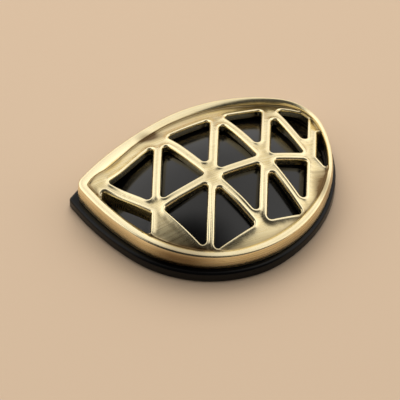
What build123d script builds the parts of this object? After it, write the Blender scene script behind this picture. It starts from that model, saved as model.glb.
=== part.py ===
import os
from math import cos, radians, sin

from build123d import *

# Leaf outline seen from above: five tangent arcs that leave the pointed tip and come back to it
tip_x = -29.9
tip_y = -2.2
tip_heading = -57.0
flank_radius = 64.0
flank_sweep = 18.6
belly_radius = 29.1
belly_sweep = 150.2
corner_radius = 13.6
corner_sweep = 59.8
back_radius = 40.2
back_sweep = 44.9

# Black base: a flat plate with a domed core that fills the cover
plate_margin = 1.4
plate_thickness = 3.0
plate_tip_radius = 1.0
plate_edge_radius = 0.9
plate_back_chamfer = 0.3
core_fit = 0.2
core_gap = 0.35
core_end_inset = 3.5
core_side_inset = 2.0

# Brass cover: an upright rim with a rounded bead, and a domed lattice inside it
rim_tip_radius = 3.0
rim_width = 1.6
rim_height = 5.2
bead_radius = 0.75
rim_foot_radius = 0.3
dome_place = (0.548, 0.498)
dome_turn = 21.75
dome_crown = 12.4
dome_end_reach = 24.9
dome_side_reach = 10.9
dome_half_height = 40.0
shell_thickness = 1.9

# Lattice: parallel columns crossed by three bowed rows, with one diagonal in every cell.
# Columns are shares of the leaf's length up to a strip at its end, and rows are shares of its width.
# The columns lean a little: every share of the width moves a column by that much of the lean
end_strip = 5.0
columns = (0.063, 0.344, 0.580, 0.799, 1.000, 1.192)
back_row = (0.508, 0.723, 0.865, 0.945, 0.927, 0.800)
vein_row = (0.030, 0.265, 0.445, 0.563, 0.610, 0.640)
front_row = (-0.330, -0.148, 0.013, 0.190, 0.276, 0.365)
column_lean = 1.5
lean_middle = 0.49
rib_width_at_tip = 2.5
rib_width_at_end = 1.8
opening_corner_radius = 0.5
rib_edge_radius = 0.6
least_land = 1.0

# Two screws from behind hold the cover on its bosses
screw_shares = ((0.372, 0.131), (0.522, 0.898))
boss_radius = 2.2
boss_clearance = 0.3
boss_foot_gap = 0.2
pocket_floor = 3.2
screw_radius = 1.45
screw_length = 4.0
screw_hole_radius = 1.5
screw_pass_radius = 1.7
screw_end_gap = 0.1
screw_head_radius = 2.6
screw_head_height = 1.6
screw_head_round = 0.5
head_recess_radius = 2.9
head_recess_depth = 1.9
driver_length = 2.8
driver_width = 0.6
driver_depth = 0.8

# Blind tapped hole for the machine screw that comes through the door
fixing_radius = 1.65
fixing_depth = 7.0

# Height that clears the whole object, for cuts that run out at the top
headroom = 16.0

dome_half_length = belly_radius + dome_end_reach
dome_half_width = belly_radius + dome_side_reach
core_crown = dome_crown - shell_thickness - core_gap
core_half_length = dome_half_length - core_end_inset
core_half_width = dome_half_width - core_side_inset


def pointed_leaf():
    heading = (cos(radians(tip_heading)), sin(radians(tip_heading)))
    with BuildSketch() as leaf:
        with BuildLine():
            flank = JernArc((tip_x, tip_y), heading, flank_radius, flank_sweep)
            belly = JernArc(flank @ 1, flank % 1, belly_radius, belly_sweep)
            corner = JernArc(belly @ 1, belly % 1, corner_radius, corner_sweep)
            back = JernArc(corner @ 1, corner % 1, back_radius, back_sweep)
            TangentArc(back @ 1, (tip_x, tip_y), tangent=back % 1)
        make_face()
    return leaf.sketch


def rounded_leaf(inset):
    with BuildSketch() as leaf:
        add(pointed_leaf())
        fillet(leaf.vertices().sort_by(Axis.X)[0], rim_tip_radius)
        if inset > 0:
            offset(amount=-inset, mode=Mode.REPLACE)
    return leaf.sketch


leaf_box = pointed_leaf().bounding_box()


def in_leaf(along, across):
    return (leaf_box.min.X + along * leaf_box.size.X, leaf_box.min.Y + across * leaf_box.size.Y)


screw_places = [in_leaf(along, across) for along, across in screw_shares]


def egg(crown, half_length, half_width, half_height):
    # Egg with its long axis turned along the leaf and its top at the given level
    with BuildPart() as body:
        Sphere(half_height, rotation=(90, 0, 0))
        scale(by=(half_length / half_height, half_width / half_height, 1))
    dome_x, dome_y = in_leaf(*dome_place)
    with BuildPart() as placed:
        with Locations(Location((dome_x, dome_y, crown - half_height), (0, 0, dome_turn))):
            add(body.part)
    return placed.part


def node(row, column):
    lattice_share = 1 - end_strip / leaf_box.size.X
    across = (back_row, vein_row, front_row)[row][column]
    node_x, node_y = in_leaf(columns[column] * lattice_share, across)
    return (node_x + column_lean * (across - lean_middle), node_y)


def lattice_cells():
    cells = []
    for c in range(4):
        cells.append(((0, c), (1, c + 1), (0, c + 1)))
    for c in range(1, 4):
        cells.append(((0, c), (1, c), (1, c + 1)))
        cells.append(((1, c), (2, c + 1), (1, c + 1)))
    for c in range(2, 4):
        cells.append(((1, c), (2, c), (2, c + 1)))
    # The two long slots that end at the rim
    cells.append(((0, 0), (2, 1), (1, 1)))
    cells.append(((0, 4), (1, 4), (2, 5)))
    return cells


def opening(cell):
    middle = sum(column for row, column in cell) / len(cell)
    share = middle / (len(columns) - 1)
    rib_width = rib_width_at_tip + (rib_width_at_end - rib_width_at_tip) * share
    with BuildSketch() as hole:
        Polygon(*[node(row, column) for row, column in cell], align=None)
        # Drawn in by the corner radius too and then grown by it, which rounds every corner
        draw_in = rib_width / 2 + opening_corner_radius
        offset(amount=-draw_in, kind=Kind.INTERSECTION, mode=Mode.REPLACE)
        add(rounded_leaf(rim_width + least_land + opening_corner_radius), mode=Mode.INTERSECT)
        offset(amount=opening_corner_radius, kind=Kind.ARC, mode=Mode.REPLACE)
    return hole.sketch


# Domed core of the base, just under the lattice
with BuildPart() as core:
    with BuildSketch():
        add(rounded_leaf(rim_width + core_fit))
    extrude(amount=headroom)
    add(egg(core_crown, core_half_length, core_half_width, dome_half_height), mode=Mode.INTERSECT)

# Base plate with its core, boss pockets, screw holes and tapped fixing hole
with BuildPart() as base_plate:
    with BuildSketch() as plate_outline:
        add(pointed_leaf())
        offset(amount=plate_margin, kind=Kind.INTERSECTION, mode=Mode.REPLACE)
        fillet(plate_outline.vertices().sort_by(Axis.X)[0], plate_tip_radius)
    extrude(amount=plate_thickness)
    fillet(base_plate.edges().group_by(Axis.Z)[-1], plate_edge_radius)
    chamfer(base_plate.edges().group_by(Axis.Z)[0], plate_back_chamfer)
    add(core.part)
    with BuildSketch(Plane.XY.offset(pocket_floor)):
        with Locations(*screw_places):
            Circle(boss_radius + boss_clearance)
    extrude(amount=headroom, mode=Mode.SUBTRACT)
    with BuildSketch():
        with Locations(*screw_places):
            Circle(screw_pass_radius)
    extrude(amount=pocket_floor + boss_foot_gap, mode=Mode.SUBTRACT)
    with BuildSketch():
        with Locations(*screw_places):
            Circle(head_recess_radius)
    extrude(amount=head_recess_depth, mode=Mode.SUBTRACT)
    with BuildSketch():
        Circle(fixing_radius)
    extrude(amount=fixing_depth, mode=Mode.SUBTRACT)

# Solid dome inside the rim, and the room that is hollowed out under it
with BuildPart() as dome:
    with BuildSketch(Plane.XY.offset(plate_thickness)):
        add(rounded_leaf(rim_width / 2))
    extrude(amount=headroom)
    add(egg(dome_crown, dome_half_length, dome_half_width, dome_half_height), mode=Mode.INTERSECT)

with BuildPart() as room:
    with BuildSketch():
        add(rounded_leaf(rim_width))
    extrude(amount=headroom)
    add(
        egg(
            dome_crown - shell_thickness,
            dome_half_length - shell_thickness,
            dome_half_width - shell_thickness,
            dome_half_height - shell_thickness,
        ),
        mode=Mode.INTERSECT,
    )
    with BuildSketch(Plane.XY.offset(pocket_floor + boss_foot_gap)):
        with Locations(*screw_places):
            Circle(boss_radius)
    extrude(amount=headroom, mode=Mode.SUBTRACT)

# Openwork cover: rim, dome, hollow, then the openings with rounded ribs
with BuildPart() as lattice_cover:
    with BuildSketch(Plane.XY.offset(plate_thickness)):
        add(rounded_leaf(0))
        add(rounded_leaf(rim_width), mode=Mode.SUBTRACT)
    extrude(amount=rim_height)
    fillet(lattice_cover.edges().group_by(Axis.Z)[-1], bead_radius)
    foot = lattice_cover.faces().sort_by(Axis.Z)[0]
    fillet(foot.outer_wire().edges(), rim_foot_radius)
    add(dome.part)
    add(room.part, mode=Mode.SUBTRACT)
    with BuildSketch(Plane.XY.offset(plate_thickness)):
        for cell in lattice_cells():
            add(opening(cell))
    extrude(amount=headroom, mode=Mode.SUBTRACT)
    skin = lattice_cover.faces().sort_by(Axis.Z)[-1]
    fillet([edge for wire in skin.inner_wires() for edge in wire.edges()], rib_edge_radius)
    with BuildSketch(Plane.XY.offset(pocket_floor)):
        with Locations(*screw_places):
            Circle(screw_hole_radius)
    thread_end = head_recess_depth + screw_length + screw_end_gap
    extrude(amount=thread_end - pocket_floor, mode=Mode.SUBTRACT)

# Pan head screws, heads up in the recesses of the back
with BuildPart() as cover_screws:
    with BuildSketch(Plane.XY.offset(head_recess_depth)):
        with Locations(*screw_places):
            Circle(screw_radius)
    extrude(amount=screw_length)
    with BuildSketch(Plane.XY.offset(head_recess_depth - screw_head_height)):
        with Locations(*screw_places):
            Circle(screw_head_radius)
    extrude(amount=screw_head_height)
    fillet(cover_screws.edges().group_by(Axis.Z)[0], screw_head_round)
    with BuildSketch(Plane.XY.offset(head_recess_depth - screw_head_height)):
        with Locations(*screw_places):
            Rectangle(driver_length, driver_width)
            Rectangle(driver_width, driver_length)
    extrude(amount=driver_depth, mode=Mode.SUBTRACT)

os.makedirs("parts", exist_ok=True)

base_plate.part.label = "base_plate"
export_step(base_plate.part, "parts/base_plate.step")

lattice_cover.part.label = "lattice_cover"
export_step(lattice_cover.part, "parts/lattice_cover.step")

cover_screws.part.label = "cover_screws"
export_step(cover_screws.part, "parts/cover_screws.step")
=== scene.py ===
import math

import bmesh
import bpy
import numpy as np
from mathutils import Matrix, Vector
from mathutils.geometry import delaunay_2d_cdt


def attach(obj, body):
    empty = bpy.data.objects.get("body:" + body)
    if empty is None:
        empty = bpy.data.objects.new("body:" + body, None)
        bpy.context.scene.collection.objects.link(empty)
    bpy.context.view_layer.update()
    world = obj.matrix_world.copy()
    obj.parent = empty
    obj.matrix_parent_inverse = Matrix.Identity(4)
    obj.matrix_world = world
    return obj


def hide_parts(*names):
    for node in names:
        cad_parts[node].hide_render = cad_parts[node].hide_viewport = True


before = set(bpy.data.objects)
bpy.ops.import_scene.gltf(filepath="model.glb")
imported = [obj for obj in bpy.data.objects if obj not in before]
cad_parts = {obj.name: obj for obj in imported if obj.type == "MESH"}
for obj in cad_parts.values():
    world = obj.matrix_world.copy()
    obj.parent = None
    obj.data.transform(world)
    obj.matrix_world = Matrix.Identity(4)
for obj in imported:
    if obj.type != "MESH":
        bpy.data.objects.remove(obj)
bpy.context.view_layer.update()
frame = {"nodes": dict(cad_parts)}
print("frame loaded:", ", ".join(frame["nodes"]))

mm = 0.001


# 0 up to the first level, 1 past the second, and a smooth way between them
def eased(value, first, second):
    share = np.clip((value - first) / (second - first), 0, 1)
    return share * share * (3 - 2 * share)


# leaf outline: tangent arcs from the tip round to the back, as radius and sweep
leaf = {
    "tip": (-29.9, -2.2),
    "tipHeading": -57.0,
    "arcs": ((64.0, 18.6), (29.1, 150.2), (13.6, 59.8), (40.2, 44.9)),  # flank, belly, corner, back
    "steps": (18, 56, 230, 54, 80, 60),                                 # tip, the four arcs, closing arc
}


def onArc(arc, heading, inset=0.0):
    cx, cy, radius = arc[:3]
    return cx + (radius - inset) * math.sin(heading), cy - (radius - inset) * math.cos(heading)


# each arc as its centre, radius, first and last heading
def leafArcs():
    x, y = leaf["tip"]
    heading = math.radians(leaf["tipHeading"])
    arcs = []
    for radius, sweep in leaf["arcs"]:
        cx, cy = x - radius * math.sin(heading), y + radius * math.cos(heading)
        arc = (cx, cy, radius, heading, heading + math.radians(sweep))
        arcs.append(arc)
        heading = arc[4]
        x, y = onArc(arc, heading)
    dx, dy = leaf["tip"][0] - x, leaf["tip"][1] - y
    radius = (dx * dx + dy * dy) / (2 * (dy * math.cos(heading) - dx * math.sin(heading)))
    cx, cy = x - radius * math.sin(heading), y + radius * math.cos(heading)
    last = math.atan2(leaf["tip"][0] - cx, cy - leaf["tip"][1])
    while last < heading:
        last += 2 * math.pi
    arcs.append((cx, cy, radius, heading, last))
    return arcs


# points round the leaf, drawn in by an inset (out where it is negative), with a round tip
def leafLine(inset, tipRadius):
    arcs = leafArcs()
    flank, closing = arcs[0], arcs[-1]
    a = closing[2] - inset - tipRadius
    b = flank[2] - inset - tipRadius
    gap = Vector((flank[0] - closing[0], flank[1] - closing[1]))
    along = (a * a - b * b + gap.length_squared) / (2 * gap.length)
    side = math.sqrt(a * a - along * along)
    unit = gap.normalized()
    places = [Vector(closing[:2]) + unit * along + Vector((-unit.y, unit.x)) * side * s for s in (1, -1)]
    middle = min(places, key=lambda p: (p - Vector(leaf["tip"])).length)
    leave = math.atan2(middle.x - closing[0], closing[1] - middle.y)
    while leave < closing[3]:
        leave += 2 * math.pi
    start = math.atan2(middle.x - flank[0], flank[1] - middle.y)
    tipArc = (middle.x, middle.y, tipRadius + inset, leave, start + 2 * math.pi)
    runs = [tipArc, (*flank[:3], start, flank[4]), *arcs[1:-1], (*closing[:4], leave)]
    points = []
    for run, count in zip(runs, leaf["steps"]):
        for k in range(count):
            points.append(onArc(run, run[3] + (run[4] - run[3]) * k / count, inset))
    return np.array(points)


# egg-shaped dome, turned along the leaf
dome = {
    "centre": (3.58, 0.48),
    "turn": 21.75,
    "crown": 12.4,
    "halfSizes": (54.0, 40.0, 40.0),
    "shell": 1.9,
    # where the cover comes up closer to the rim's level: place, how far and reach
    "rises": (((-26.3, -1.4), 3.2, 5.2), ((22.0, 22.0), 1.0, 6.5)),
    "easeFrom": 10.8,           # from this height up the cover is a little flatter,
    "easeDown": 0.47,           # so that its rolled lips end at the crown's height
    "coreGap": 0.35,
    "coreHalfSizes": (50.5, 38.0, 40.0),
}


def turned(points):
    t = math.radians(dome["turn"])
    d = points - np.array(dome["centre"])
    return d[:, 0] * math.cos(t) + d[:, 1] * math.sin(t), d[:, 1] * math.cos(t) - d[:, 0] * math.sin(t)


def eggHeight(points, crown, halfSizes):
    p, q = turned(points)
    inside = 1 - (p / halfSizes[0]) ** 2 - (q / halfSizes[1]) ** 2
    return crown - halfSizes[2] + halfSizes[2] * np.sqrt(np.maximum(inside, 0))


def skinHeight(points):
    height = eggHeight(points, dome["crown"], dome["halfSizes"])
    for place, most, reach in dome["rises"]:
        away = np.linalg.norm(points - np.array(place), axis=1)
        height = height + most * np.exp(-(away / reach) ** 2)
    return height - dome["easeDown"] * eased(height, dome["easeFrom"], dome["crown"])


# one wrapped socket: maths on it adds Math nodes, and node() makes any other node
class Wire:
    def __init__(self, tree, socket=None):
        self.tree = tree
        self.socket = socket

    def put(self, value, socket):
        if isinstance(value, Wire):
            self.tree.links.new(value.socket, socket)
        elif socket.type == "RGBA":
            socket.default_value = (*value, 1)
        else:
            socket.default_value = value

    def node(self, kind, settings=None, links=None, out=0):
        made = self.tree.nodes.new(kind)
        for name, value in (settings or {}).items():
            if name == "stops":
                ramp = made.color_ramp
                while len(ramp.elements) < len(value):
                    ramp.elements.new(0.5)
                for element, (place, colour) in zip(ramp.elements, value):
                    element.position = place
                    element.color = (*colour, 1)
            else:
                setattr(made, name, value)
        for name, value in (links or {}).items():
            self.put(value, made.inputs[name])
        return Wire(self.tree, made.outputs[out])

    def maths(self, operation, first, second=0.0):
        return self.node("ShaderNodeMath", {"operation": operation}, {0: first, 1: second})

    def clamp(self):
        return self.node("ShaderNodeClamp", {}, {0: self})

    def step(self, low, high):
        return self.node("ShaderNodeMapRange", {"interpolation_type": "SMOOTHSTEP"},
                         {"Value": self, "From Min": low, "From Max": high})

    # colours sit on sockets 6 and 7 of a Mix node, and come out of socket 2
    def mix(self, first, second):
        return self.node("ShaderNodeMix", {"data_type": "RGBA"}, {0: self, 6: first, 7: second}, 2)

    def noise(self, vector, scale, detail=3.0, rough=0.5):
        return self.node("ShaderNodeTexNoise", {},
                         {"Vector": vector, "Scale": scale, "Detail": detail, "Roughness": rough})

    def split(self, vector):
        apart = self.node("ShaderNodeSeparateXYZ", {}, {0: vector}).socket.node
        return [Wire(self.tree, socket) for socket in apart.outputs]

    def named(self, name, kind):
        return self.node("GeometryNodeInputNamedAttribute", {"data_type": kind}, {"Name": name})

    def attribute(self, name):
        return self.node("ShaderNodeAttribute", {"attribute_name": name}, {}, "Fac")

    def vector(self, x, y, z):
        return self.node("ShaderNodeCombineXYZ", {}, {0: x, 1: y, 2: z})

    def __add__(self, other):
        return self.maths("ADD", self, other)

    def __radd__(self, other):
        return self.maths("ADD", other, self)

    def __sub__(self, other):
        return self.maths("SUBTRACT", self, other)

    def __rsub__(self, other):
        return self.maths("SUBTRACT", other, self)

    def __mul__(self, other):
        return self.maths("MULTIPLY", self, other)

    def __rmul__(self, other):
        return self.maths("MULTIPLY", other, self)

    def __pow__(self, other):
        return self.maths("POWER", self, other)


noiseMiddle = 0.5       # a noise swings about this value


def newFinish(name):
    finish = bpy.data.materials.new(name)
    finish.use_nodes = True
    shader = finish.node_tree.nodes["Principled BSDF"]
    bench = Wire(finish.node_tree)
    place = bench.node("ShaderNodeTexCoord", {}, {}, "Object")
    return finish, shader, bench, place


def addBump(bench, shader, height, sizes):
    links = {"Strength": sizes["bumpStrength"], "Distance": sizes["bumpDepth"] * mm, "Height": height}
    bench.put(bench.node("ShaderNodeBump", {}, links), shader.inputs["Normal"])


# brushed antique brass: polished along the edges, brown left in the flats, painted shade in the hollows
brass = {
    "polished": (1.0, 0.88, 0.57),
    "aged": (0.62, 0.475, 0.21),
    "shadeAndPatina": (0.166, 0.102, 0.044),
    "streakAlong": 45.0,        # noise cells a metre, along the brush
    "streakAcross": 3200.0,     # and across it
    "streakDetail": 4.0,
    "streakGrit": 0.6,
    "bandAlong": 30.0,          # the same for broad brown bands
    "bandAcross": 600.0,
    "bandDetail": 2.0,
    "bandEdge": (0.56, 0.78),   # noise levels where a band starts and is full
    "bandBrown": 0.45,
    "cloudScale": 140.0,
    "shine": 0.5,               # share of polished brass where nothing is worn
    "wearShine": 0.5,           # and how much more of it where all is worn
    "streakShine": 1.1,         # its swing from streak to streak where nothing is worn
    "streakWear": 0.8,          # and how much less of that where all is worn
    "cloudShine": 0.5,
    # painted dark reflections, as brown patches where the brass would mirror dark surroundings: place, reach
    # along x and y, and strength
    "darkReflections": ((-4.5, -22.5, 13.0, 5.5, 0.9), (8.4, -20.5, 4.0, 2.5, 0.2), (28.5, -1.5, 3.5, 6.0, 0.8),
               (-12.4, 12.2, 4.5, 2.6, 0.95), (23.5, 20.5, 3.5, 3.0, 0.15), (1.2, -2.2, 2.6, 1.6, 0.3)),
    "reflectionMiddle": 0.15,        # share of its reach where a painted reflection is full
    "reflectionLeast": 0.55,         # its strength where the streaks' noise is lowest
    "reflectionStreak": 0.9,         # and how much more where it is highest
    "reflectionWear": 0.35,          # share of it that wear takes off
    "shadeBrown": 0.9,
    "roughness": 0.27,
    "streakRoughness": 0.16,
    "wearRoughness": -0.05,
    "shadeRoughness": 0.15,
    "bumpStrength": 0.12,
    "bumpDepth": 0.04,
}


def brassFinish():
    finish, shader, bench, place = newFinish("antiqueBrass")
    x, y = bench.split(place)[:2]
    across, wear, hollow = [bench.attribute(name) for name in ("across", "wear", "hollow")]

    def brushed(along, over, detail, grit=0.5):
        return bench.noise(bench.vector(x * along, y * along, across * over), 1.0, detail, grit)

    streak = brushed(brass["streakAlong"], brass["streakAcross"], brass["streakDetail"], brass["streakGrit"])
    band = brushed(brass["bandAlong"], brass["bandAcross"], brass["bandDetail"])
    cloud = bench.noise(place, brass["cloudScale"])
    streakSwing = streak - noiseMiddle

    # polished and aged brass, from streak to streak
    shine = brass["shine"] + wear * brass["wearShine"]
    shine = shine + streakSwing * (brass["streakShine"] - wear * brass["streakWear"])
    shine = shine + (cloud - noiseMiddle) * brass["cloudShine"]
    metal = shine.clamp().mix(brass["aged"], brass["polished"])

    # dark brown: painted dark reflections, painted shade in the hollows, and the brown bands
    # painted dark reflections: brown patches laid into the colour
    darkReflection = 0.0
    for cx, cy, reachX, reachY, strength in brass["darkReflections"]:
        dx = (x - cx * mm) * (1 / (reachX * mm))
        dy = (y - cy * mm) * (1 / (reachY * mm))
        away = (dx * dx + dy * dy) ** 0.5
        darkReflection = darkReflection + (1 - away.step(brass["reflectionMiddle"], 1.0)) * strength
    darkReflection = darkReflection * (brass["reflectionLeast"] + streak * brass["reflectionStreak"]) * (1 - wear * brass["reflectionWear"])
    dull = band.step(*brass["bandEdge"]) * brass["bandBrown"] * (1 - wear)
    # painted shade and painted dark reflections, together with the real brown bands
    shadeAndBands = (darkReflection + hollow * brass["shadeBrown"] + dull).clamp()
    bench.put(shadeAndBands.mix(metal, brass["shadeAndPatina"]), shader.inputs["Base Color"])

    rough = brass["roughness"] + streakSwing * brass["streakRoughness"]
    rough = rough + wear * brass["wearRoughness"] + hollow * brass["shadeRoughness"]
    bench.put(rough, shader.inputs["Roughness"])
    shader.inputs["Metallic"].default_value = 1.0
    addBump(bench, shader, streak, brass)
    return finish


# smooth satin black with a faint orange peel, glossier on the core
black = {
    "colour": (0.002, 0.002, 0.0022),
    "dusty": (0.0035, 0.0035, 0.004),
    "dustEdge": (0.35, 0.75),
    "cloudScale": 90.0,
    "peelScale": 1400.0,
    "peelDetail": 2.0,
    "roughness": 0.2,
    "cloudRoughness": 0.12,
    "peelRoughness": 0.05,
    "shine": 0.2,
    "coat": 0.75,
    "coatLevel": (3.1, 3.5),    # heights between which the glossy coat comes in
    "coatRoughness": 0.12,
    "bumpStrength": 0.06,
    "bumpDepth": 0.03,
}


def blackFinish():
    finish, shader, bench, place = newFinish("satinBlack")
    peel = bench.noise(place, black["peelScale"], black["peelDetail"])
    cloud = bench.noise(place, black["cloudScale"])
    dust = cloud.step(*black["dustEdge"])
    bench.put(dust.mix(black["colour"], black["dusty"]), shader.inputs["Base Color"])
    rough = black["roughness"] + (cloud - noiseMiddle) * black["cloudRoughness"]
    rough = rough + (peel - noiseMiddle) * black["peelRoughness"]
    bench.put(rough, shader.inputs["Roughness"])
    shader.inputs["Specular IOR Level"].default_value = black["shine"]
    low, high = black["coatLevel"]
    coat = bench.split(place)[2].step(low * mm, high * mm) * black["coat"]
    bench.put(coat, shader.inputs["Coat Weight"])
    shader.inputs["Coat Roughness"].default_value = black["coatRoughness"]
    addBump(bench, shader, peel, black)
    return finish


# zinc-plated screws
steel = {
    "colour": (0.62, 0.62, 0.63),
    "dull": (0.42, 0.42, 0.44),
    "dullEdge": (0.3, 0.7),
    "cloudScale": 900.0,
    "roughness": 0.3,
    "cloudRoughness": 0.2,
}


def steelFinish():
    finish, shader, bench, place = newFinish("zincPlate")
    cloud = bench.noise(place, steel["cloudScale"])
    dull = cloud.step(*steel["dullEdge"])
    bench.put(dull.mix(steel["colour"], steel["dull"]), shader.inputs["Base Color"])
    rough = steel["roughness"] + (cloud - noiseMiddle) * steel["cloudRoughness"]
    bench.put(rough, shader.inputs["Roughness"])
    shader.inputs["Metallic"].default_value = 1.0
    return finish


finishes = {"brass": brassFinish(), "black": blackFinish(), "steel": steelFinish()}
print("finishes made")


def plainMesh(name, vertices, faces):
    mesh = bpy.data.meshes.new(name)
    mesh.from_pydata([tuple(v) for v in vertices], [], [tuple(int(i) for i in f) for f in faces])
    mesh.update()
    return mesh


# smooth object of a mesh, with the edges past an angle in degrees left sharp
def smoothPiece(mesh, finish, sharpAngle):
    mesh.shade_smooth()
    mesh.set_sharp_from_angle(angle=math.radians(sharpAngle))
    mesh.materials.clear()
    mesh.materials.append(finish)
    piece = bpy.data.objects.new(mesh.name, mesh)
    bpy.context.collection.objects.link(piece)
    return piece


def paintPoints(mesh, name, values):
    layer = mesh.attributes.get(name) or mesh.attributes.new(name, "FLOAT", "POINT")
    layer.data.foreach_set("value", np.asarray(values, dtype=np.float32))


# upright rim: a bar with a sloping top, swept round the leaf, wider and taller towards the tip
rim = {
    "width": 1.15,
    "extraWidth": 1.45,
    "height": 4.8,
    "extraHeight": 1.15,
    "foot": 3.0,
    "edgeRadius": 0.45,
    "innerRadius": 0.5,
    "footRadius": 0.25,
    "cornerSteps": 7,
    "sectionSteps": 110,
    "crown": 0.15,
    "slope": 0.65,              # how much lower its top is on the inner side
    "slopeFrom": 0.5,           # share of its height from which it slopes
    "bulge": 0.25,
    "bulgeShare": 0.4,          # share of its width that bulges with the outer wall
    "pullIn": 0.12,             # how far its top and foot stand back
    "tipRadius": 3.0,
    "leastTip": 0.2,
    "thinWay": (0.82, 0.57),    # it is narrowest on this side
    "thinFrom": 5.0,            # all of the extra width up to here on that way
    "thinTo": 34.0,             # and none past here
    "lowWay": (0.9, 0.43),      # the same for the extra height
    "lowFrom": -30.0,
    "lowTo": 0.0,
    "wearDepth": 1.0,           # polished from this far below its crest
    "leastWear": 0.1,
    "footShade": 0.6,           # painted shade along its foot
    "footShadeHeight": 0.9,     # and how far up it goes
}

# inputs of the rim's node tree, and the value that each one takes
rimSizes = {
    "Width": "width",
    "Extra Width": "extraWidth",
    "Height": "height",
    "Extra Height": "extraHeight",
    "Foot Level": "foot",
    "Edge Radius": "edgeRadius",
    "Inner Radius": "innerRadius",
    "Foot Radius": "footRadius",
    "Crown": "crown",
    "Slope": "slope",
    "Bulge": "bulge",
    "Pull In": "pullIn",
    "Thin From": "thinFrom",
    "Thin To": "thinTo",
    "Low From": "lowFrom",
    "Low To": "lowTo",
}


# line round the inside of the rim, a distance in from its wall
def rimLine(distance):
    lines = []
    for width in (rim["width"], rim["width"] + rim["extraWidth"]):
        inset = width + distance
        lines.append(leafLine(inset, max(rim["tipRadius"] - inset, rim["leastTip"])))
    thin, wide = lines
    share = 1 - eased(thin @ np.array(rim["thinWay"]), rim["thinFrom"], rim["thinTo"])[:, None]
    return thin * (1 - share) + wide * share


# section of the rim, as a curve: a profile's x points outward along the path, and its y points down
def rimSection(bench, value):
    bar = bench.node("GeometryNodeCurvePrimitiveQuadrilateral", {},
                     {"Width": value["Width"], "Height": value["Height"]})
    px, py = bench.split(bench.node("GeometryNodeInputPosition"))[:2]
    isFoot = bench.maths("GREATER_THAN", py, 0.0)
    isInner = bench.maths("LESS_THAN", px, 0.0)
    edge = value["Edge Radius"] + (value["Inner Radius"] - value["Edge Radius"]) * isInner
    radius = edge + (value["Foot Radius"] - edge) * isFoot
    rounded = bench.node("GeometryNodeFilletCurve", {"mode": "POLY"},
                         {"Curve": bar, "Count": rim["cornerSteps"], "Radius": radius})
    dense = bench.node("GeometryNodeResampleCurve", {}, {"Curve": rounded, "Count": rim["sectionSteps"]})
    inShare = 0.5 - bench.maths("DIVIDE", px, value["Width"])       # 0 at the outer wall, 1 at the inner
    upShare = 0.5 - bench.maths("DIVIDE", py, value["Height"])      # 0 at the foot, 1 at the top
    side = inShare * 2.0 - 1.0
    slope = value["Crown"] * (1 - side * side) - value["Slope"] * inShare
    crown = slope * upShare.step(rim["slopeFrom"], 1.0)
    level = upShare * 2.0 - 1.0
    bulge = value["Bulge"] * (1 - level * level) - value["Pull In"]
    swell = bulge * (1 - inShare.step(0.0, rim["bulgeShare"]))
    height = value["Height"] * 0.5 + value["Foot Level"] + crown
    shift = bench.vector(swell - value["Width"] * 0.5, height * -1.0, 0.0)
    marked = dense
    for name, kept in (("inShare", inShare), ("upShare", upShare), ("across", px - py)):
        marked = bench.node("GeometryNodeStoreNamedAttribute", {"data_type": "FLOAT", "domain": "POINT"},
                            {"Geometry": marked, "Name": name, "Value": kept})
    return bench.node("GeometryNodeSetPosition", {}, {"Geometry": marked, "Offset": shift})


# move that makes the swept rim wider inward and taller towards the tip
def rimGrowth(bench, value):
    x, y = bench.split(bench.node("GeometryNodeInputPosition"))[:2]
    thinWay = x * rim["thinWay"][0] + y * rim["thinWay"][1]
    lowWay = x * rim["lowWay"][0] + y * rim["lowWay"][1]
    wider = 1 - thinWay.step(value["Thin From"], value["Thin To"])
    taller = 1 - lowWay.step(value["Low From"], value["Low To"])
    widen = bench.named("inShare", "FLOAT") * value["Extra Width"] * wider
    lift = bench.named("upShare", "FLOAT") * value["Extra Height"] * taller
    grow = bench.node("ShaderNodeVectorMath", {"operation": "SCALE"},
                      {0: bench.named("inward", "FLOAT_VECTOR"), "Scale": widen})
    return bench.node("ShaderNodeVectorMath", {}, {0: grow, 1: bench.vector(0.0, 0.0, lift)})


def rimTree():
    tree = bpy.data.node_groups.new("rimSweep", "GeometryNodeTree")
    face = tree.interface
    face.new_socket("Geometry", in_out="OUTPUT", socket_type="NodeSocketGeometry")
    face.new_socket("Path", in_out="INPUT", socket_type="NodeSocketObject")
    for name in rimSizes:
        face.new_socket(name, in_out="INPUT", socket_type="NodeSocketFloat")
    face.new_socket("Finish", in_out="INPUT", socket_type="NodeSocketMaterial")
    bench = Wire(tree)
    given = tree.nodes.new("NodeGroupInput")
    value = {socket.name: Wire(tree, socket) for socket in given.outputs if socket.name}

    # path, with the way inward kept on it
    path = bench.node("GeometryNodeObjectInfo", {}, {"Object": value["Path"]}, "Geometry")
    upright = bench.node("GeometryNodeSetCurveNormal", {"mode": "Z_UP"}, {"Curve": path})
    inward = bench.node("ShaderNodeVectorMath", {"operation": "CROSS_PRODUCT"},
                        {0: (0, 0, 1), 1: bench.node("GeometryNodeInputTangent")})
    railed = bench.node("GeometryNodeStoreNamedAttribute", {"data_type": "FLOAT_VECTOR", "domain": "POINT"},
                        {"Geometry": upright, "Name": "inward", "Value": inward})

    swept = bench.node("GeometryNodeCurveToMesh", {},
                       {"Curve": railed, "Profile Curve": rimSection(bench, value)})
    shaped = bench.node("GeometryNodeSetPosition", {},
                        {"Geometry": swept, "Offset": rimGrowth(bench, value)})
    smooth = bench.node("GeometryNodeSetShadeSmooth", {}, {"Geometry": shaped})
    real = bench.node("GeometryNodeRealizeInstances", {}, {"Geometry": smooth})
    done = bench.node("GeometryNodeSetMaterial", {}, {"Geometry": real, "Material": value["Finish"]})
    bench.put(done, tree.nodes.new("NodeGroupOutput").inputs[0])
    return tree


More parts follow.
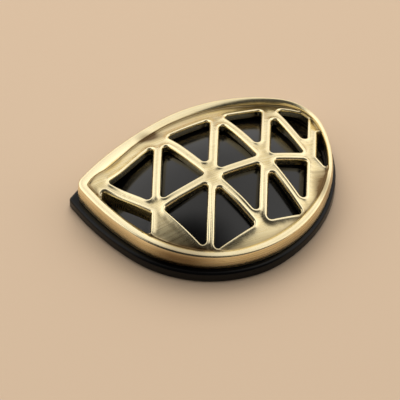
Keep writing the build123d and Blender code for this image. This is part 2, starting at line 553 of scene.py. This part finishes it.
def rimMesh():
    line = leafLine(0.0, rim["tipRadius"])
    count = len(line)
    curve = bpy.data.curves.new("rimPath", "CURVE")
    curve.dimensions = "3D"
    spline = curve.splines.new("POLY")
    spline.points.add(count - 1)
    places = np.column_stack([line * mm, np.zeros(count), np.ones(count)])
    spline.points.foreach_set("co", places.ravel())
    spline.use_cyclic_u = True
    path = bpy.data.objects.new("rimPath", curve)
    bpy.context.collection.objects.link(path)
    carrier = bpy.data.objects.new("rimCarrier", bpy.data.meshes.new("rimCarrier"))
    bpy.context.collection.objects.link(carrier)
    sweep = carrier.modifiers.new("rimSweep", "NODES")
    tree = rimTree()
    sweep.node_group = tree
    for socket in tree.interface.items_tree:
        if socket.in_out == "INPUT":
            if socket.name in rimSizes:
                sweep[socket.identifier] = rim[rimSizes[socket.name]] * mm
            else:
                sweep[socket.identifier] = path if socket.name == "Path" else finishes["brass"]
    evaluated = carrier.evaluated_get(bpy.context.evaluated_depsgraph_get())
    mesh = bpy.data.meshes.new_from_object(evaluated)
    for spare in (carrier, path):
        bpy.data.objects.remove(spare)

    # polished along the crest, painted shade along the foot
    place = np.empty(len(mesh.vertices) * 3)
    mesh.vertices.foreach_get("co", place)
    height = place.reshape(-1, 3)[:, 2] / mm
    crest = rim["foot"] + rim["height"] + rim["crown"]
    worn = np.clip((height - crest + rim["wearDepth"]) / rim["wearDepth"], 0, 1)
    paintPoints(mesh, "wear", worn * (1 - rim["leastWear"]) + rim["leastWear"])
    # painted shade, darker towards the foot
    low = np.clip((rim["foot"] + rim["footShadeHeight"] - height) / rim["footShadeHeight"], 0, 1)
    paintPoints(mesh, "hollow", low * rim["footShade"])
    return mesh


# lattice: leaning columns, three bowed rows and a diagonal in each cell
lattice = {
    "columns": (-26.37, -10.6, 2.64, 14.92, 26.0, 36.97),
    "lean": 0.031,                  # sideways, for each mm towards the back
    # back, vein and front row: its place across each column that it meets
    "rows": ({0: -0.9, 1: 11.45, 2: 18.37, 3: 22.27, 4: 21.39},
             {1: -10.88, 2: -2.1, 3: 3.65, 4: 5.94},
             {1: -31.0, 2: -23.16, 3: -14.53, 4: -10.34, 5: -6.0}),
    "columnWidths": (2.1, 2.65),    # at the front and at the back
    "columnPlaces": (-12.0, 14.0),
    "columnSlant": 0.97,            # an edge this upright belongs to a column
    "ribWidths": (2.6, 2.15),       # of rows and diagonals, at the tip and at the round end
    "ribPlaces": (-20.0, 22.0),
    "cornerRadius": 0.75,
    "slotRadius": 0.5,
    "leastLand": 0.45,
    "slotLand": -0.12,              # below zero, the slots end inside the rim
    "slotStart": 0.88,              # where the first slot starts, back from its hub
    "slotReach": 15.0,              # how far forward its sides are drawn, past the rim
    "endReach": (1.5, 1.6),         # how far the last slot runs to the back and to the front
    "slotSkirt": 1.8,               # how much deeper the walls of the slots are
    "skirtReach": 0.7,
    "tipStart": 0.144,              # where the first opening starts, along its lower rib
    "bluntTip": 0.07,               # cut off that sharp corner
    "roundAcross": 0.42,
    "roundDown": 0.6,
    "lipHeight": 0.45,              # rolled lip along each opening
    "lipPlace": 0.6,
    "lipWidth": 0.52,
    "groovePlace": 1.2,             # painted shade line beside the lip
    "grooveWidth": 0.3,
    "grooveShade": 0.24,
    "rimShade": 0.8,                # painted shade along the rim
    "rimShadeReach": 0.5,
    # painted shade on the sheet's underside, darkening each opening's wall towards its foot
    "underShade": 0.15,
    "creaseRadius": 0.4,
    "creaseSteps": (0.0, 0.12, 0.35, 0.65, 1.0),
    "overlap": 0.3,                 # how far the sheet runs into the rim
    "ringSteps": (0.0, 0.04, 0.1, 0.18, 0.28, 0.4, 0.52, 0.66, 0.8, 0.95),
    "cornerTurn": 0.2,              # radians from point to point round a corner
    "pointGap": 0.3,
    "samePlace": 0.01,
    "fillGap": 0.8,
    "fillClear": 0.25,              # from the last ring round an opening
    "rimClear": 0.3,                # and from the last one along the rim
    "sharpAngle": 48.0,
}


def latticeCells():
    cells = [((0, c), (1, c + 1), (0, c + 1)) for c in range(4)]
    for c in range(1, 4):
        cells += [((0, c), (1, c), (1, c + 1)), ((1, c), (2, c + 1), (1, c + 1))]
    return cells + [((1, c), (2, c), (2, c + 1)) for c in (2, 3)]


# place of a crossing of the lattice
def latticeNode(row, column):
    y = lattice["rows"][row][column]
    return np.array((lattice["columns"][column] + lattice["lean"] * y, y))


def cellCorners():
    corners = [[latticeNode(r, c) for r, c in cell] for cell in latticeCells()]
    tip, low, high = corners[0]
    tip = tip + (low - tip) * lattice["tipStart"]
    blunt = lattice["bluntTip"]
    corners[0] = [tip + (low - tip) * blunt, low, high, tip + (high - tip) * blunt]
    return corners


# two slots that end at the rim
def slotCorners():
    hub, tip = latticeNode(1, 1), latticeNode(0, 0)
    start = hub + (tip - hub) * lattice["slotStart"]
    past = start + np.array((0, -lattice["slotReach"]))
    last = latticeNode(1, 4)
    toBack, toFront = lattice["endReach"]
    back = last + (latticeNode(0, 4) - last) * toBack
    front = last + (latticeNode(2, 5) - last) * toFront
    return [[start, past, latticeNode(2, 1), hub], [back, last, front]]


# keeps what lies to the left of a line through two points
def clip(polygon, a, b):
    edge = b - a
    side = [edge[0] * (p[1] - a[1]) - edge[1] * (p[0] - a[0]) for p in polygon]
    kept = []
    for k, p in enumerate(polygon):
        q, sp, sq = polygon[k - 1], side[k], side[k - 1]
        if (sp >= 0) != (sq >= 0):
            kept.append(q + (p - q) * (sq / (sq - sp)))
        if sp >= 0:
            kept.append(p)
    return kept


# opening drawn in by its corner radius, as a convex polygon that runs counter-clockwise
def openingCore(corners, land, radius):
    middle = np.mean(corners, axis=0)
    columnWidth = np.interp(middle[1], lattice["columnPlaces"], lattice["columnWidths"])
    ribWidth = np.interp(middle[0], lattice["ribPlaces"], lattice["ribWidths"])
    polygon = list(rimLine(land + radius))
    for k, b in enumerate(corners):
        a = corners[k - 1]
        left = np.array((a[1] - b[1], b[0] - a[0])) / np.linalg.norm(b - a)
        width = columnWidth if abs(left[0]) > lattice["columnSlant"] else ribWidth
        drawIn = width / 2 + radius
        polygon = clip(polygon, a + left * drawIn, b + left * drawIn)
    gaps = [np.linalg.norm(p - polygon[k - 1]) for k, p in enumerate(polygon)]
    return np.array([p for p, gap in zip(polygon, gaps) if gap > lattice["samePlace"]])


# the opening's outline, grown by a distance
def grown(core, distance):
    ring = []
    count = len(core)
    for k in range(count):
        before, here, after = core[k - 1], core[k], core[(k + 1) % count]
        first = math.atan2(*(np.array((-1, 1)) * (here - before)))      # outward normals of the two edges
        last = math.atan2(*(np.array((-1, 1)) * (after - here)))
        sweep = (last - first) % (2 * math.pi)
        turns = max(1, round(sweep / lattice["cornerTurn"]))
        for t in range(turns + 1):
            angle = first + sweep * t / turns
            ring.append(here + distance * np.array((math.cos(angle), math.sin(angle))))
        run = np.linalg.norm(after - here)
        normal = distance * np.array((math.cos(last), math.sin(last)))
        stops = int(run / lattice["pointGap"])
        for t in range(1, stops + 1):
            ring.append(here + (after - here) * t / (stops + 1) + normal)
    return np.array(ring)


# distance of each point from a convex polygon, below zero inside it
def distanceTo(core, points):
    best = np.full(len(points), np.inf)
    inside = np.full(len(points), True)
    for k in range(len(core)):
        a, b = core[k - 1], core[k]
        edge, d = b - a, points - a
        t = np.clip(d @ edge / (edge @ edge), 0, 1)
        best = np.minimum(best, np.linalg.norm(d - t[:, None] * edge, axis=1))
        inside &= edge[0] * d[:, 1] - edge[1] * d[:, 0] >= 0
    return np.where(inside, -best, best)


rowShare = 0.866        # step from row to row of even triangles, for a side of 1
sameSpot = 1e-5         # points closer than this are one


def fillPoints(line, gap):
    low, high = line.min(axis=0), line.max(axis=0)
    across = np.arange(low[0], high[0], gap)
    up = np.arange(low[1], high[1], gap * rowShare)
    return np.array([(x + (gap / 2 if row % 2 else 0), y) for row, y in enumerate(up) for x in across])


def triangulate(loops, loose):
    points, edges = [], []
    for loop in loops:
        start, count = len(points), len(loop)
        points += [Vector(p) for p in loop]
        edges += [(start + k, start + (k + 1) % count) for k in range(count)]
    points += [Vector(p) for p in loose]
    found = delaunay_2d_cdt(points, edges, [], 0, sameSpot)
    return np.array([tuple(p) for p in found[0]]), np.array([tuple(f) for f in found[2]])


def borderEdges(faces):
    sides = np.concatenate([faces[:, (0, 1)], faces[:, (1, 2)], faces[:, (2, 0)]])
    seen = {tuple(s) for s in sides}
    return [(a, b) for a, b in seen if (b, a) not in seen]


# each opening as its core and the radius that it is grown by
def slotCores():
    radius = lattice["slotRadius"]
    return [(openingCore(corners, lattice["slotLand"], radius), radius) for corners in slotCorners()]


def allCores():
    radius = lattice["cornerRadius"]
    cells = [(openingCore(corners, lattice["leastLand"], radius), radius) for corners in cellCorners()]
    return cells + slotCores()


# distance of each point from the nearest opening, below zero inside it
def gapTo(cores, points):
    return np.min([distanceTo(core, points) - radius for core, radius in cores], axis=0)


def fromSlots(points):
    return np.maximum(gapTo(slotCores(), points), 0)


# flat triangles that fill the leaf between the openings and the rim
def latticeSheet(cores, rimLoops):
    rings = [grown(core, radius + t) for core, radius in cores for t in lattice["ringSteps"]]
    loose = fillPoints(rimLoops[0], lattice["fillGap"])
    farthest = lattice["ringSteps"][-1] + lattice["fillClear"]
    clear = (gapTo(cores, loose) > farthest) & (distanceTo(rimLoops[-1], loose) < -lattice["rimClear"])
    points, faces = triangulate(rimLoops + rings, loose[clear])
    centres = points[faces].mean(axis=1)
    faces = faces[(gapTo(cores, centres) > 0) & (distanceTo(rimLoops[0], centres) < 0)]
    used = np.unique(faces)
    renumber = np.full(len(points), -1)
    renumber[used] = np.arange(len(used))
    return points[used], renumber[faces]


def latticeMesh():
    cores = allCores()
    print("lattice openings:", len(cores))
    creases = [lattice["creaseRadius"] * s for s in lattice["creaseSteps"]]
    rimLoops = [rimLine(d) for d in [-lattice["overlap"]] + creases]
    points, faces = latticeSheet(cores, rimLoops)

    # dome with rounded and lipped openings, and a crease along the rim
    fromOpening = np.maximum(gapTo(cores, points), 0)
    fromRim = np.maximum(-distanceTo(rimLoops[1], points), 0)
    skin = skinHeight(points)
    off = np.clip(1 - fromOpening / lattice["roundAcross"], 0, 1)
    drop = lattice["roundDown"] * (1 - np.sqrt(1 - off * off))
    up = np.clip(1 - fromRim / lattice["creaseRadius"], 0, 1)
    rise = lattice["creaseRadius"] * (1 - np.sqrt(1 - up * up))
    lip = lattice["lipHeight"] * np.exp(-((fromOpening - lattice["lipPlace"]) / lattice["lipWidth"]) ** 2)
    skirt = lattice["slotSkirt"] * np.exp(-(fromSlots(points) / lattice["skirtReach"]) ** 2)
    top = np.column_stack([points, skin - drop + rise + lip])
    under = np.column_stack([points, skin - dome["shell"] - skirt])
    count = len(points)
    walls = []
    for a, b in borderEdges(faces):
        walls += [(b, a, a + count), (b, a + count, b + count)]
    allFaces = np.concatenate([faces, faces[:, ::-1] + count, np.array(walls)])
    mesh = plainMesh("latticeDome", np.concatenate([top, under]) * mm, allFaces)

    # polished lips, with painted shade beside them and along the rim
    wear = np.exp(-(np.maximum(fromOpening - lattice["lipPlace"], 0) / lattice["lipWidth"]) ** 2)
    groove = np.exp(-((fromOpening - lattice["groovePlace"]) / lattice["grooveWidth"]) ** 2)
    hollow = np.exp(-fromRim / lattice["rimShadeReach"]) * lattice["rimShade"]
    hollow = hollow + groove * lattice["grooveShade"]
    across = turned(points)[1] * mm
    paintPoints(mesh, "wear", np.concatenate([wear, np.zeros(count)]))
    # painted shade: along the rim and beside the lips on top, a little all over the underside
    paintPoints(mesh, "hollow", np.concatenate([hollow, np.full(count, lattice["underShade"])]))
    paintPoints(mesh, "across", np.concatenate([across, across]))
    return mesh


def buildCover():
    bm = bmesh.new()
    bm.from_mesh(rimMesh())
    bm.from_mesh(latticeMesh())
    mesh = bpy.data.meshes.new("brassCover")
    bm.to_mesh(mesh)
    bm.free()
    cover = smoothPiece(mesh, finishes["brass"], lattice["sharpAngle"])
    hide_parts("lattice_cover")
    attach(cover, "root")
    print("brass cover:", len(mesh.polygons), "faces")


# black base: a plate with a rounded edge, and the domed core that shows through the openings
base = {
    "margin": 1.4,
    "endMargin": 0.75,          # past the round end
    "endFrom": 14.0,
    "endTo": 27.0,
    "thickness": 3.0,
    "tipRadius": 1.0,
    "leastTip": 0.03,
    "edgeRadius": 0.9,
    "edgeSteps": 9,
    "chamfer": 0.3,
    "coreInset": 1.8,
    "coreDip": 1.5,             # how far the core falls away under the slots
    "dipReach": 1.4,
    "leastCore": 0.02,
    "fillGap": 0.9,
    "fillClear": 0.35,
    "fixingRadius": 1.65,
    "fixingDepth": 7.0,
    "screwPlaces": ((-7.17, -17.41), (1.99, 19.98)),
    "recessRadius": 2.9,
    "recessDepth": 1.9,
    "holeSteps": 64,
    "mergeGap": 0.002,
    "sharpAngle": 35.0,
}


# line round the plate, drawn in by a distance from its edge
def plateLine(distance):
    tip = max(base["tipRadius"] - distance, base["leastTip"])
    wide, narrow = [leafLine(distance - m, tip) for m in (base["margin"], base["endMargin"])]
    share = eased(wide[:, :1], base["endFrom"], base["endTo"])
    return wide * (1 - share) + narrow * share


def coreHeight(points):
    crown = dome["crown"] - dome["shell"] - dome["coreGap"]
    dip = base["coreDip"] * np.exp(-(fromSlots(points) / base["dipReach"]) ** 2)
    height = eggHeight(points, crown, dome["coreHalfSizes"]) - dip
    return np.maximum(height, base["thickness"] + base["leastCore"])


# rings from the back's edge over the plate's rounded edge to the top of the core's wall
def plateLoops(coreLine):
    edge, top = base["edgeRadius"], base["thickness"]
    section = [(base["chamfer"], 0.0), (0.0, base["chamfer"])]
    for a in np.linspace(0, math.pi / 2, base["edgeSteps"]):
        section.append((edge * (1 - math.cos(a)), top - edge * (1 - math.sin(a))))
    loops = [(plateLine(d), z) for d, z in section]
    return loops + [(coreLine, top), (coreLine, coreHeight(coreLine))]


def addRings(loops, vertices, faces):
    count = len(loops[0][0])
    for line, z in loops:
        vertices += [(x, y, h) for (x, y), h in zip(line, np.broadcast_to(z, count))]
    for ring in range(len(loops) - 1):
        for k in range(count):
            a, b = ring * count + k, ring * count + (k + 1) % count
            faces += [(a, b, b + count), (a, b + count, a + count)]


def addCore(coreLine, vertices, faces):
    loose = fillPoints(coreLine, base["fillGap"])
    loose = loose[distanceTo(coreLine, loose) < -base["fillClear"]]
    points, cap = triangulate([coreLine], loose)
    cap = cap[distanceTo(coreLine, points[cap].mean(axis=1)) < 0]
    start = len(vertices)
    vertices += [(x, y, h) for (x, y), h in zip(points, coreHeight(points))]
    faces += [tuple(f + start) for f in cap]


# back face with its fixing hole and two screw recesses
def addBack(backLine, vertices, faces):
    holes = [((0.0, 0.0), base["fixingRadius"], base["fixingDepth"])]
    holes += [(place, base["recessRadius"], base["recessDepth"]) for place in base["screwPlaces"]]
    turns = np.linspace(0, 2 * math.pi, base["holeSteps"], endpoint=False)
    unitCircle = np.column_stack([np.cos(turns), np.sin(turns)])
    circles = [np.array(c) + r * unitCircle for c, r, depth in holes]
    points, cap = triangulate([backLine] + circles, [])
    centres = points[cap].mean(axis=1)
    solid = distanceTo(backLine, centres) < 0
    for circle in circles:
        solid &= distanceTo(circle, centres) > 0
    start = len(vertices)
    vertices += [(x, y, 0.0) for x, y in points]
    faces += [tuple(f[::-1] + start) for f in cap[solid]]
    for circle, (c, r, depth) in zip(circles, holes):
        start, n = len(vertices), len(circle)
        vertices += [(x, y, 0.0) for x, y in circle] + [(x, y, depth) for x, y in circle] + [(*c, depth)]
        for k in range(n):
            a, b = start + k, start + (k + 1) % n
            faces += [(b, a, a + n), (b, a + n, b + n), (a + n, start + 2 * n, b + n)]


def buildBase():
    coreLine = leafLine(base["coreInset"], rim["tipRadius"] - base["coreInset"])
    loops = plateLoops(coreLine)
    vertices, faces = [], []
    addRings(loops, vertices, faces)
    addCore(coreLine, vertices, faces)
    addBack(loops[0][0], vertices, faces)
    mesh = plainMesh("blackBase", np.array(vertices) * mm, faces)
    plate = smoothPiece(mesh, finishes["black"], base["sharpAngle"])
    bm = bmesh.new()
    bm.from_mesh(mesh)
    bmesh.ops.remove_doubles(bm, verts=bm.verts, dist=base["mergeGap"] * mm)
    bm.to_mesh(mesh)
    bm.free()
    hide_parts("base_plate")
    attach(plate, "root")
    print("black base:", len(mesh.polygons), "faces")


buildCover()
buildBase()

screws = frame["nodes"]["cover_screws"]
for slot in screws.material_slots:
    slot.material = finishes["steel"]

# pale floor under soft light from the back
studio = {
    "floor": (0.606, 0.461, 0.328),
    "floorSize": 6.0,
    "floorSpread": 0.03,                    # how far its colour goes to each side
    "floorNoises": ((9.0, 0.04), (900.0, 0.03)),    # scale and swing of clouds and grain
    "floorDetail": 2.0,
    "floorRoughness": 0.8,
    "floorShine": 0.2,
    # sine of the height above the floor, and the sky's brightness there
    "sky": ((0.0, 0.6), (0.25, 1.05), (0.6, 1.0), (1.0, 0.9)),
    "skyColour": (1.0, 0.97, 0.93),
    "middle": 0.9,                          # share of it at the back
    "sides": 0.45,                          # and how much more at the sides
    "frontEdge": (0.22, 0.5),               # where it goes dark towards the front
    "dark": (-0.2, -0.36, 0.91),            # way to the dark gap overhead
    "darkEdge": (0.84, 0.97),               # cosines where it starts and is full
    "darkLevel": 0.05,
    "lampPlace": (-0.1, 0.72, 0.8),
    "lampSize": (1.0, 0.8),
    "lampPower": 7.74,
    "elevation": 52.0,
    "target": (-0.38, -0.48, 0.0),
    "frameWidth": 95.24,
    "lens": 900.0,
    "sensor": 36.0,
}


def floorFinish():
    finish, shader, bench, place = newFinish("paleFloor")
    tint = noiseMiddle
    for scale, swing in studio["floorNoises"]:
        tint = tint + (bench.noise(place, scale, studio["floorDetail"]) - noiseMiddle) * swing
    low = tuple(c * (1 - studio["floorSpread"]) for c in studio["floor"])
    high = tuple(c * (1 + studio["floorSpread"]) for c in studio["floor"])
    bench.put(tint.clamp().mix(low, high), shader.inputs["Base Color"])
    shader.inputs["Roughness"].default_value = studio["floorRoughness"]
    shader.inputs["Specular IOR Level"].default_value = studio["floorShine"]
    return finish


def layFloor():
    half = studio["floorSize"] / 2
    corners = [(-half, -half, 0), (half, -half, 0), (half, half, 0), (-half, half, 0)]
    mesh = plainMesh("floor", corners, [(0, 1, 2, 3)])
    mesh.materials.append(floorFinish())
    floor = bpy.data.objects.new("floor", mesh)
    bpy.context.collection.objects.link(floor)


def hangLamp():
    lamp = bpy.data.lights.new("backLamp", "AREA")
    lamp.shape = "RECTANGLE"
    lamp.size, lamp.size_y = studio["lampSize"]
    lamp.energy = studio["lampPower"]
    lamp.color = studio["skyColour"]
    holder = bpy.data.objects.new("backLamp", lamp)
    holder.location = studio["lampPlace"]
    holder.visible_glossy = False       # the sky alone shows in the brass
    holder.rotation_euler = (-holder.location).to_track_quat("-Z", "Y").to_euler()
    bpy.context.collection.objects.link(holder)


def hangSky():
    world = bpy.data.worlds.new("studio")
    world.use_nodes = True
    bench = Wire(world.node_tree)
    way = bench.node("ShaderNodeTexCoord")      # on a world, the way to each part of the sky
    across, back, up = bench.split(way)
    stops = [(place, tuple(level * c for c in studio["skyColour"])) for place, level in studio["sky"]]
    sky = bench.node("ShaderNodeValToRGB", {"stops": stops}, {0: up})
    towards = bench.node("ShaderNodeVectorMath", {"operation": "DOT_PRODUCT"},
                         {0: way, 1: studio["dark"]}, "Value")
    gap = towards.step(*studio["darkEdge"])
    front = (back * -1.0).step(*studio["frontEdge"])
    level = studio["middle"] + bench.maths("ABSOLUTE", across) * studio["sides"]
    lit = level * (1 - gap) * (1 - front) + studio["darkLevel"]
    background = world.node_tree.nodes["Background"]
    bench.put(sky, background.inputs["Color"])
    bench.put(lit, background.inputs["Strength"])
    bpy.context.scene.world = world


def setCamera():
    lens = bpy.data.cameras.new("camera")
    lens.lens = studio["lens"]
    lens.sensor_width = studio["sensor"]
    far = studio["frameWidth"] * mm * lens.lens / lens.sensor_width
    tilt = math.radians(studio["elevation"])
    camera = bpy.data.objects.new("camera", lens)
    camera.location = Vector(studio["target"]) * mm + Vector((0, -math.cos(tilt), math.sin(tilt))) * far
    camera.rotation_euler = (math.pi / 2 - tilt, 0, 0)
    bpy.context.collection.objects.link(camera)
    bpy.context.scene.camera = camera
    bpy.context.scene.view_settings.view_transform = "Standard"


layFloor()
hangLamp()
hangSky()
setCamera()
print("studio lit")
